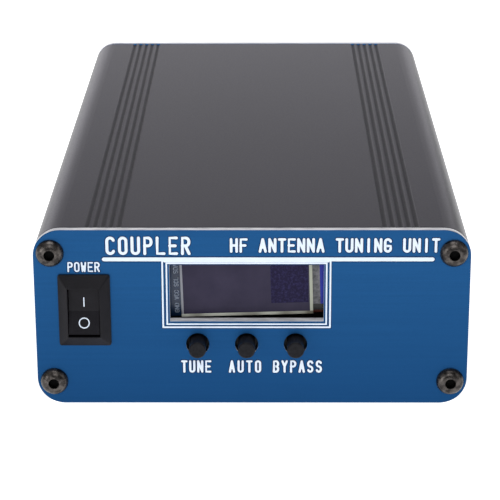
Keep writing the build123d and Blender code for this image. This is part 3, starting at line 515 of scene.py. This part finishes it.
def rearGlass():
    look = rearLook
    paint = Paint("rearGlass")
    x, _, z = moduleAxes(paint, (glassLow + glassHigh) / 2)
    mottle = paint.noise(paint.place(), look["mottleScale"], 3.0)
    ledge = paint.blend(paint.spread(mottle, 0.3, 0.7), look["ledgeDark"], look["ledgeLight"])
    blue = paint.blend(mottle, look["stripDark"], look["stripLight"])
    colour = paint.blend(x > look["stripFrom"] * mm, ledge, blue)
    colour = paint.blend(z < look["footBelow"] * mm, colour, look["foot"])
    colour = paint.blend(z < look["tapeBelow"] * mm, colour, look["tape"])
    rough = look["rough"] + (mottle - 0.5) * look["roughSpread"]
    return paint.use(colour=colour, rough=rough, specular=look["specular"])


moduleBoardLook = {
    "dark": shade(0.005, 0.022, 0.075),
    "light": shade(0.008, 0.04, 0.11),
    "track": shade(0.01, 0.05, 0.16),
    "trackPitch": 0.9,
    "trackWide": 0.25,
    "trackFrom": -15.0,
    "fineScale": 2400.0,
    "rough": 0.35,
    "coat": 0.3,
    "bump": 0.4,
    "bumpDepth": 0.00003,
}


def boardBlue():
    look = moduleBoardLook
    paint = Paint("boardBlue")
    x, _, z = moduleAxes(paint, moduleMiddle)
    fine = paint.noise(paint.place(), look["fineScale"], 3.0)
    tracks = ((z % (look["trackPitch"] * mm)) < look["trackWide"] * mm) * (x > look["trackFrom"] * mm)
    base = paint.blend(fine, look["dark"], look["light"])
    colour = paint.blend(tracks * 0.5, base, look["track"])
    relief = paint.bump(tracks, look["bump"], look["bumpDepth"])
    return paint.use(colour=colour, rough=look["rough"], coat=look["coat"], normal=relief)


mainBoardLook = {
    "dark": shade(0.006, 0.065, 0.028),
    "light": shade(0.010, 0.10, 0.045),
    "track": shade(0.018, 0.17, 0.08),
    "pad": shade(0.62, 0.60, 0.52),
    "padPitch": 2.54,
    "padRadius": 0.42,
    "padMetal": 0.8,
    "fineScale": 2200.0,
    "routeScale": 120.0,
    "trackPitch": 0.12,
    "trackWide": 0.035,
    "rough": 0.32,
    "coat": 0.3,
    "bump": 0.5,
    "bumpDepth": 0.00003,
}


def boardGreen():
    look = mainBoardLook
    paint = Paint("boardGreen")
    place = paint.place()
    x, y, _ = paint.axes(place)
    fine = paint.noise(place, look["fineScale"], 3.0)
    route = paint.cells(paint.stretched((1.0, 1.0, 0.0)), look["routeScale"])
    tracks = (route % look["trackPitch"]) < look["trackWide"]
    pitch = look["padPitch"] * mm
    u = abs((x % pitch) - pitch / 2)
    v = abs((y % pitch) - pitch / 2)
    pad = (u * u + v * v) < (look["padRadius"] * mm) ** 2
    base = paint.blend(fine, look["dark"], look["light"])
    colour = paint.blend(tracks * 0.6, base, look["track"])
    return paint.use(
        colour=paint.blend(pad, colour, look["pad"]),
        rough=look["rough"],
        metal=pad * look["padMetal"],
        coat=look["coat"],
        normal=paint.bump(tracks * 0.5 + pad, look["bump"], look["bumpDepth"]),
    )


# turned threads, seen on the rear sockets and the stud

threadLook = {
    "barrelPitch": 1.058,
    "barrelStart": 3.6,
    "studPitch": 0.7,
    "studStart": 3.0,
    "groove": shade(0.10, 0.09, 0.08),
    "grooveShare": 0.6,
    "fineScale": 1400.0,
    "roughSpread": 0.15,
    "bump": 1.0,
    "bumpDepth": 0.0003,
}
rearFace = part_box("rear_panel")[1].y


def ridges(position, pitch):
    # 0 to 1 and back over one pitch
    return abs((position % pitch) - pitch / 2) * (2.0 / pitch)


def threaded(name, recipe, pitch, start):
    look = threadLook
    paint = Paint(name)
    place = paint.place()
    _, y, _ = paint.axes(place)
    fine = paint.noise(place, look["fineScale"], 3.0)
    # the thread valleys are painted darker: painted shade in the grooves
    thread = ridges(y, pitch * mm) * (y > rearFace + start * mm)
    colour = paint.blend(paint.spread(fine, 0.3, 0.7), recipe["dark"], recipe["light"])
    return paint.use(
        colour=paint.blend(thread * look["grooveShare"], colour, look["groove"]),
        metal=1.0,
        rough=recipe["rough"] + (fine - 0.5) * look["roughSpread"],
        normal=paint.bump(thread, look["bump"], look["bumpDepth"]),
    )


coilLook = {
    "wirePitch": 1.02,
    "toroidTurns": 22.0,
    "dark": shade(0.42, 0.14, 0.05),
    "light": shade(0.62, 0.25, 0.10),
    "coilGapShade": shade(0.05, 0.02, 0.01),
    "coilGapShadeShare": 0.8,
    "toroidGapShade": shade(0.06, 0.02, 0.01),
    "toroidGapShadeShare": 0.85,
    "gapFrom": 0.8,
    "fineScale": 900.0,
    "metal": 0.9,
    "rough": 0.26,
    "bump": 1.0,
    "bumpDepth": -0.0004,
}


def wound(paint, place, ridge, gapShade, gapShadeShare):
    look = coilLook
    fine = paint.noise(place, look["fineScale"], 3.0)
    colour = paint.blend(fine, look["dark"], look["light"])
    # between the turns the wire is painted dark: painted shade
    colour = paint.blend((ridge > look["gapFrom"]) * gapShadeShare, colour, gapShade)
    relief = paint.bump(ridge, look["bump"], look["bumpDepth"])
    return paint.use(colour=colour, metal=look["metal"], rough=look["rough"], normal=relief)


def coilCopper():
    look = coilLook
    paint = Paint("coilCopper")
    place = paint.place()
    x, _, _ = paint.axes(place)
    ridge = ridges(x, look["wirePitch"] * mm)
    return wound(paint, place, ridge, look["coilGapShade"], look["coilGapShadeShare"])


def toroidCopper():
    look = coilLook
    paint = Paint("toroidCopper")
    place = paint.place()
    x, y, _ = paint.axes(place)
    # three toroids in a row along y, so y is folded into one of them
    low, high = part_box("toroid_cores")
    across = high.x - low.x
    pitch = (high.y - low.y - across) / 2
    u = x - (low.x + high.x) / 2
    v = ((y - low.y - across / 2 + pitch / 2) % pitch) - pitch / 2
    angle = paint.node("ShaderNodeMath", {"operation": "ARCTAN2"}, {0: v, 1: u})
    ridge = ridges(angle * (look["toroidTurns"] / math.pi), 1.0)
    return wound(paint, place, ridge, look["toroidGapShade"], look["toroidGapShadeShare"])


print("materials")
finishes = {name: speckled(name, recipe) for name, recipe in plainRecipes.items()}
makers = (
    caseGrey, panelBlue, screwBlack, switchBlack, buttonBlack, coverGlass, rearGlass, boardBlue,
    boardGreen, coilCopper, toroidCopper,
)
for maker in makers:
    finishes[maker.__name__] = maker()
threads = (
    ("nickelThread", "nickelSatin", threadLook["barrelPitch"], threadLook["barrelStart"]),
    ("brassThread", "brassBright", threadLook["studPitch"], threadLook["studStart"]),
)
for name, recipe, pitch, start in threads:
    finishes[name] = threaded(name, plainRecipes[recipe], pitch, start)

nodeFinish = {
    "caseGrey": ["upper_shell", "lower_shell"],
    "panelBlue": ["front_panel", "rear_panel"],
    "screwBlack": ["front_panel_screws", "rear_panel_screws"],
    "switchBlack": ["switch_housing", "switch_rocker"],
    "buttonBlack": ["tune_button", "auto_button", "bypass_button", "button_bodies"],
    "coverGlass": ["display_cover_glass"],
    "rearGlass": ["display_rear_glass"],
    "boardBlue": ["display_board"],
    "boardGreen": ["main_board"],
    "brassBright": ["switch_plunger", "switch_terminals", "display_pins", "coax_contacts", "power_jack_tabs"],
    "shadowedSteel": ["button_brackets"],
    "zincSteel": ["switch_spring", "button_domes", "regulator_tab", "coax_screws", "coax_nuts",
                  "ground_lug"],
    "nickelThread": ["coax_shells"],
    "brassThread": ["ground_stud"],
    "coilCopper": ["air_coils"],
    "toroidCopper": ["toroid_windings"],
    "nickelSatin": ["power_jack_body", "power_jack_pin", "power_jack_nut", "ground_washer",
                    "ground_nut"],
    "copperEnamel": ["switch_blade", "match_windings", "match_lines", "rf_leads"],
    "foamBlack": ["display_pads"],
    "relayBlue": ["inductor_relays", "capacitor_relays", "output_relays"],
    "coreRed": ["toroid_cores"],
    "ferriteGrey": ["match_cores"],
    "resinBrown": ["capacitor_bank"],
    "chipEpoxy": ["controller_chip", "driver_chips", "voltage_regulator"],
    "sleeveDark": ["electrolytic_capacitors"],
    "fluoroWhite": ["coax_insulators"],
    "wireRed": ["supply_leads", "display_leads"],
    "wireBlack": ["return_leads"],
    "headerBlack": ["pin_headers", "lead_plugs", "controller_socket"],
}
for finish, names in nodeFinish.items():
    for name in names:
        node = frame["nodes"][name]
        node.data.materials.clear()
        node.data.materials.append(finishes[finish])


# lettering: single rounded strokes, cut and filled white

def sweepArc(centreX, centreY, radiusX, radiusY, start, end):
    count = max(3, round(abs(end - start) / 18))
    turns = [math.radians(start + (end - start) * step / count) for step in range(count + 1)]
    return [(centreX + radiusX * math.cos(turn), centreY + radiusY * math.sin(turn)) for turn in turns]


def letterStrokes(letter, w, h):
    r = w / 2
    b = w * 0.45
    c = w * 0.4
    upper = sweepArc(w - b, h * 0.75, b, h * 0.25, 90, -90)
    bowl = [(0, 0), (0, h)] + upper + [(0, h * 0.5)]
    strokes = {
        "A": [[(0, 0), (r, h)], [(r, h), (w, 0)], [(w * 0.18, h * 0.34), (w * 0.82, h * 0.34)]],
        "B": [bowl, [(0, h * 0.5)] + sweepArc(w - b, h * 0.25, b, h * 0.25, 90, -90) + [(0, 0)]],
        "C": [sweepArc(r, h - r, r, r, 15, 180) + sweepArc(r, r, r, r, 180, 345)],
        "D": [[(0, 0), (0, h)] + sweepArc(w - c, h - c, c, c, 90, 0) + sweepArc(w - c, c, c, c, 0, -90)
              + [(0, 0)]],
        "E": [[(w, h), (0, h), (0, 0), (w, 0)], [(0, h * 0.5), (w * 0.8, h * 0.5)]],
        "F": [[(w, h), (0, h), (0, 0)], [(0, h * 0.5), (w * 0.8, h * 0.5)]],
        "G": [sweepArc(r, h - r, r, r, 15, 180) + sweepArc(r, r, r, r, 180, 360)
              + [(w, h * 0.45), (r, h * 0.45)]],
        "H": [[(0, 0), (0, h)], [(w, 0), (w, h)], [(0, h * 0.5), (w, h * 0.5)]],
        "I": [[(r, 0), (r, h)]],
        "L": [[(0, h), (0, 0), (w, 0)]],
        "N": [[(0, 0), (0, h)], [(0, h), (w, 0)], [(w, 0), (w, h)]],
        "O": [sweepArc(r, h - r, r, r, 0, 180) + sweepArc(r, r, r, r, 180, 360) + [(w, h - r)]],
        "P": [bowl],
        "R": [bowl, [(w * 0.45, h * 0.5), (w, 0)]],
        "S": [sweepArc(r, h * 0.75, r, h * 0.25, 25, 270) + sweepArc(r, h * 0.25, r, h * 0.25, 90, -155)],
        "T": [[(0, h), (w, h)], [(r, h), (r, 0)]],
        "U": [[(0, h)] + sweepArc(r, r, r, r, 180, 360) + [(w, h)]],
        "V": [[(0, h), (r, 0)], [(r, 0), (w, h)]],
        "W": [[(0, h), (w * 0.22, 0)], [(w * 0.22, 0), (r, h * 0.6)], [(r, h * 0.6), (w * 0.78, 0)],
              [(w * 0.78, 0), (w, h)]],
        "Y": [[(0, h), (r, h * 0.5)], [(w, h), (r, h * 0.5)], [(r, h * 0.5), (r, 0)]],
    }
    return strokes.get(letter, [])


def wordStrokes(words, left, right, foot, height, letterWidth, stroke):
    # left, right, foot and height are the outside of the painted strokes
    w = letterWidth - stroke
    h = height - stroke
    pitch = (right - left - letterWidth) / max(1, len(words) - 1)
    found = []
    for step, letter in enumerate(words):
        shiftX = left + stroke / 2 + step * pitch
        for points in letterStrokes(letter, w, h):
            found.append([(x + shiftX, y + foot + stroke / 2) for x, y in points])
    return found


def roundedEnds(points, radius):
    # extra points past each end, with a share of the full width, make the end round
    steps = ((1.0, 0.05), (0.87, 0.5), (0.5, 0.87), (0.0, 1.0))
    first = Vector(points[0]) - Vector(points[1])
    last = Vector(points[-1]) - Vector(points[-2])
    start = [(Vector(points[0]) + first.normalized() * radius * far, share) for far, share in steps]
    end = [(Vector(points[-1]) + last.normalized() * radius * far, share) for far, share in reversed(steps)]
    middle = [(Vector(point), 1.0) for point in points[1:-1]]
    return start + middle + end


def strokeMesh(name, strokes, width, rise, closed=False):
    curve = bpy.data.curves.new(name, "CURVE")
    curve.dimensions = "3D"
    curve.bevel_depth = width / 2
    curve.bevel_resolution = 2
    curve.use_fill_caps = not closed
    for points in strokes:
        shares = [(Vector(point), 1.0) for point in points] if closed else roundedEnds(points, width / 2)
        spline = curve.splines.new("POLY")
        spline.points.add(len(shares) - 1)
        spline.use_cyclic_u = closed
        for target, (point, share) in zip(spline.points, shares):
            target.co = (point.x, point.y, 0.0, 1.0)
            target.radius = share
    holder = bpy.data.objects.new(name, curve)
    bpy.context.scene.collection.objects.link(holder)
    shown = holder.evaluated_get(bpy.context.evaluated_depsgraph_get())
    mesh = bpy.data.meshes.new_from_object(shown)
    bpy.data.objects.remove(holder)
    mesh.transform(Matrix.Diagonal((1.0, 1.0, rise / (width / 2), 1.0)))
    return mesh


def makePiece(name, mesh, place, finish, body):
    mesh.transform(place)
    mesh.name = name
    mesh.materials.clear()
    mesh.materials.append(finish)
    piece = bpy.data.objects.new(name, mesh)
    bpy.context.scene.collection.objects.link(piece)
    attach(piece, body)
    return piece


inkLook = {
    "dark": shade(0.72, 0.82, 1.0),
    "light": shade(0.82, 0.91, 1.0),
    "cloudScale": 600.0,
    "fineScale": 5200.0,
    "rough": 0.5,
    "roughSpread": 0.2,
    "bump": 0.25,
    "bumpDepth": 0.00002,
}


def engravedWhite():
    look = inkLook
    paint = Paint("engravedWhite")
    place = paint.place()
    fine = paint.noise(place, look["fineScale"], 2.0)
    cloud = paint.noise(place, look["cloudScale"], 3.0)
    return paint.use(
        colour=paint.blend(cloud, look["dark"], look["light"]),
        rough=look["rough"] + (fine - 0.5) * look["roughSpread"],
        normal=paint.bump(fine, look["bump"], look["bumpDepth"]),
    )


rimShadeLook = {
    "dark": shade(0.004, 0.016, 0.06),
    "light": shade(0.008, 0.03, 0.10),
    "fineScale": 4200.0,
    "rough": 0.7,
    "specular": 0.03,
    "bump": 0.2,
    "bumpDepth": 0.00002,
}


def engravedEdgeShade():
    look = rimShadeLook
    paint = Paint("engravedEdgeShade")
    fine = paint.noise(paint.place(), look["fineScale"], 2.0)
    colour = paint.blend(fine, look["dark"], look["light"])
    relief = paint.bump(fine, look["bump"], look["bumpDepth"])
    return paint.use(colour=colour, rough=look["rough"], specular=look["specular"], normal=relief)


lettering = {
    "rise": 0.03,
    "edge": 0.15,
    "edgeRise": 0.006,
    "words": [
        # name, words, left, right, foot, height, letter width, stroke
        ("titleMark", "COUPLER", -29.5, -12.3, 32.45, 4.0, 2.0, 0.68),
        ("titleLine", "HF ANTENNA TUNING UNIT", -4.45, 37.9, 32.95, 3.15, 1.70, 0.6),
        ("powerMark", "POWER", -37.3, -30.7, 28.8, 2.2, 1.16, 0.38),
        ("tuneMark", "TUNE", -14.6, -8.35, 6.75, 2.8, 1.34, 0.5),
        ("autoMark", "AUTO", -4.8, 1.9, 6.75, 2.8, 1.34, 0.5),
        ("bypassMark", "BYPASS", 4.25, 14.4, 6.75, 2.8, 1.36, 0.5),
    ],
}
finishes["engravedWhite"] = engravedWhite()
finishes["engravedEdgeShade"] = engravedEdgeShade()
upright = Matrix.Rotation(math.radians(90), 4, "X")
panelPlace = Matrix.Translation((0.0, panelFace, 0.0)) @ upright @ Matrix.Scale(mm, 4)


def engrave(name, strokes, stroke, closed=False):
    white = strokeMesh(name, strokes, stroke, lettering["rise"], closed)
    makePiece(name, white, panelPlace, finishes["engravedWhite"], "case")
    # each stroke gets a thin dark outline: painted shade along the edges of the engraved groove
    rimShade = strokeMesh(name + "RimShade", strokes, stroke + 2 * lettering["edge"], lettering["edgeRise"], closed)
    makePiece(name + "RimShade", rimShade, panelPlace, finishes["engravedEdgeShade"], "case")


print("lettering")
for name, words, left, right, foot, height, letterWidth, stroke in lettering["words"]:
    engrave(name, wordStrokes(words, left, right, foot, height, letterWidth, stroke), stroke)

frameLines = {
    "barLeft": -29.8, "barRight": 36.4, "barZ": 31.55, "barWide": 0.92,
    "outer": (-18.1, 15.9, 16.83, 31.55), "outerWide": 0.54,
    "inner": (-17.27, 15.13, 17.5, 30.7), "innerWide": 0.5,
    "stripLeft": -17.65, "stripRight": 15.45, "stripZ": 31.12, "stripWide": 0.5,
}


def rectangle(limits):
    left, right, foot, head = limits
    return [(left, foot), (right, foot), (right, head), (left, head)]


def level(left, right, height):
    return [[(left, height), (right, height)]]


underline = level(frameLines["barLeft"], frameLines["barRight"], frameLines["barZ"])
headStrip = level(frameLines["stripLeft"], frameLines["stripRight"], frameLines["stripZ"])
engrave("underline", underline, frameLines["barWide"])
engrave("headStrip", headStrip, frameLines["stripWide"])
engrave("windowLineOuter", [rectangle(frameLines["outer"])], frameLines["outerWide"], True)
engrave("windowLineInner", [rectangle(frameLines["inner"])], frameLines["innerWide"], True)

# module pin labels, printed up the left end of the display board
pinLabels = {
    "words": "GND VCC SCL SDA", "height": 1.0, "stroke": 0.16, "letterWidth": 0.66,
    "left": -5.3, "right": 5.3, "foot": -15.55, "rise": 0.02,
}


def printPinLabels():
    look = pinLabels
    strokes = wordStrokes(look["words"], look["left"], look["right"], 0.0, look["height"],
                          look["letterWidth"], look["stroke"])
    mesh = strokeMesh("pinLabels", strokes, look["stroke"], look["rise"])
    upward = Matrix.Rotation(math.radians(90), 4, "Z")
    middle = (moduleMiddle.x, moduleLow.y, moduleMiddle.z)
    place = Matrix.Translation(middle) @ moduleTurn @ Matrix.Scale(mm, 4)
    place = place @ Matrix.Translation((look["foot"] + look["height"], 0.0, 0.0)) @ upright @ upward
    makePiece("pinLabels", mesh, place, finishes["labelInk"], "case")


printPinLabels()

# rocker marks ride with the rocker
rockerMarks = {
    "swing": 16.0, "halfFace": 8.0, "barHalf": 0.92, "ringRadius": 1.02, "stroke": 0.24,
    "barOut": 1.95, "ringOut": 2.45, "crease": 1.1, "rise": 0.02,
}


def markRocker():
    look = rockerMarks
    joint = [j for j in frame["joints"] if j["name"] == "power_rocker"][0]
    pivot = Vector(joint["pos_m"])
    turn = Matrix.Translation(pivot) @ Matrix.Rotation(-math.radians(look["swing"] / 2), 4, "X")
    crease = look["crease"] * mm
    bar = [[(0.0, -look["barHalf"]), (0.0, look["barHalf"])]]
    ring = [sweepArc(0.0, 0.0, look["ringRadius"], look["ringRadius"], 0, 340)]
    marks = (("onMark", bar, 1, look["barOut"], False), ("offMark", ring, -1, look["ringOut"], True))
    for name, strokes, side, out, closed in marks:
        mesh = strokeMesh(name, strokes, look["stroke"], look["rise"], closed)
        lean = math.radians(look["halfFace"]) * side
        face = Matrix.Translation((0.0, -crease, 0.0)) @ Matrix.Rotation(lean, 4, "X")
        place = turn @ face @ Matrix.Translation((0.0, 0.0, side * out * mm)) @ upright @ Matrix.Scale(mm, 4)
        makePiece(name, mesh, place, finishes["engravedWhite"], "rocker")


markRocker()


# room

room = {
    "floor": 3.0,
    "floorDark": shade(0.84, 0.84, 0.85),
    "floorLight": shade(0.86, 0.86, 0.87),
    "floorRough": 0.8,
    "floorGlow": 0.85,
    "cloudScale": 3.0,
    "world": 0.28,
}


def makeFloor():
    mesh = bpy.data.meshes.new("floor")
    bm = bmesh.new()
    bmesh.ops.create_grid(bm, x_segments=4, y_segments=4, size=room["floor"])
    bm.to_mesh(mesh)
    bm.free()
    paint = Paint("floorPale")
    cloud = paint.noise(paint.place(), room["cloudScale"], 2.0)
    mesh.materials.append(paint.use(
        colour=paint.blend(cloud, room["floorDark"], room["floorLight"]),
        rough=room["floorRough"],
        glow=shade(1.0, 1.0, 1.0),
        glowStrength=room["floorGlow"],
    ))
    floor = bpy.data.objects.new("floor", mesh)
    bpy.context.scene.collection.objects.link(floor)


lamps = {
    "overhead": {"place": (0.0, -0.1, 1.0), "aim": (0.0, -0.05, 0.02), "size": 0.6, "power": 3.0},
    "back": {"place": (-0.06, 1.0, 0.14), "aim": (0.0, 0.05, 0.03), "size": 0.9, "height": 0.22, "power": 0.7,
             "tint": (0.95, 0.93, 1.0)},
    "left": {"place": (-0.80, -0.75, 0.22), "aim": (0.0, -0.05, 0.02), "size": 0.5, "power": 2.2},
    "front": {"place": (0.0, -0.9, 0.75), "aim": (0.0, -0.08, 0.02), "size": 0.5, "power": 1.9},
    "right": {"place": (0.8, -0.3, 0.35), "aim": (0.0, 0.0, 0.02), "size": 0.5, "power": 0.5},
}


def makeLamps():
    for name, look in lamps.items():
        data = bpy.data.lights.new(name, "AREA")
        data.shape = "RECTANGLE"
        data.size = look["size"]
        data.size_y = look.get("height", look["size"])
        data.energy = look["power"]
        data.color = look.get("tint", (1.0, 1.0, 1.0))
        lamp = bpy.data.objects.new(name, data)
        lamp.location = look["place"]
        aim = Vector(look["aim"]) - Vector(look["place"])
        lamp.rotation_euler = aim.to_track_quat("-Z", "Y").to_euler()
        bpy.context.scene.collection.objects.link(lamp)
    world = bpy.data.worlds.new("studio")
    world.use_nodes = True
    world.node_tree.nodes["Background"].inputs[0].default_value = shade(1.0, 1.0, 1.0)
    world.node_tree.nodes["Background"].inputs[1].default_value = room["world"]
    bpy.context.scene.world = world


view = {
    "place": (2.661, -453.212, 165.521), "pitch": 19.498, "yaw": -0.464, "roll": -0.159,
    "lens": 141.44, "sensor": 36.0, "near": 0.01, "far": 20.0,
}


def makeCamera():
    data = bpy.data.cameras.new("camera")
    data.lens = view["lens"]
    data.sensor_width = view["sensor"]
    data.clip_start = view["near"]
    data.clip_end = view["far"]
    camera = bpy.data.objects.new("camera", data)
    pitch, yaw, roll = (math.radians(view[key]) for key in ("pitch", "yaw", "roll"))
    forward = Vector((math.sin(yaw) * math.cos(pitch), math.cos(yaw) * math.cos(pitch), -math.sin(pitch)))
    right = Vector((math.cos(yaw), -math.sin(yaw), 0.0))
    up = right.cross(forward)
    leanRight = right * math.cos(roll) + up * math.sin(roll)
    leanUp = up * math.cos(roll) - right * math.sin(roll)
    turn = Matrix((leanRight, leanUp, -forward)).transposed().to_4x4()
    camera.matrix_world = Matrix.Translation(Vector(view["place"]) * mm) @ turn
    bpy.context.scene.collection.objects.link(camera)
    bpy.context.scene.camera = camera


print("room")
makeFloor()
makeLamps()
makeCamera()
bpy.context.scene.view_settings.view_transform = "Standard"
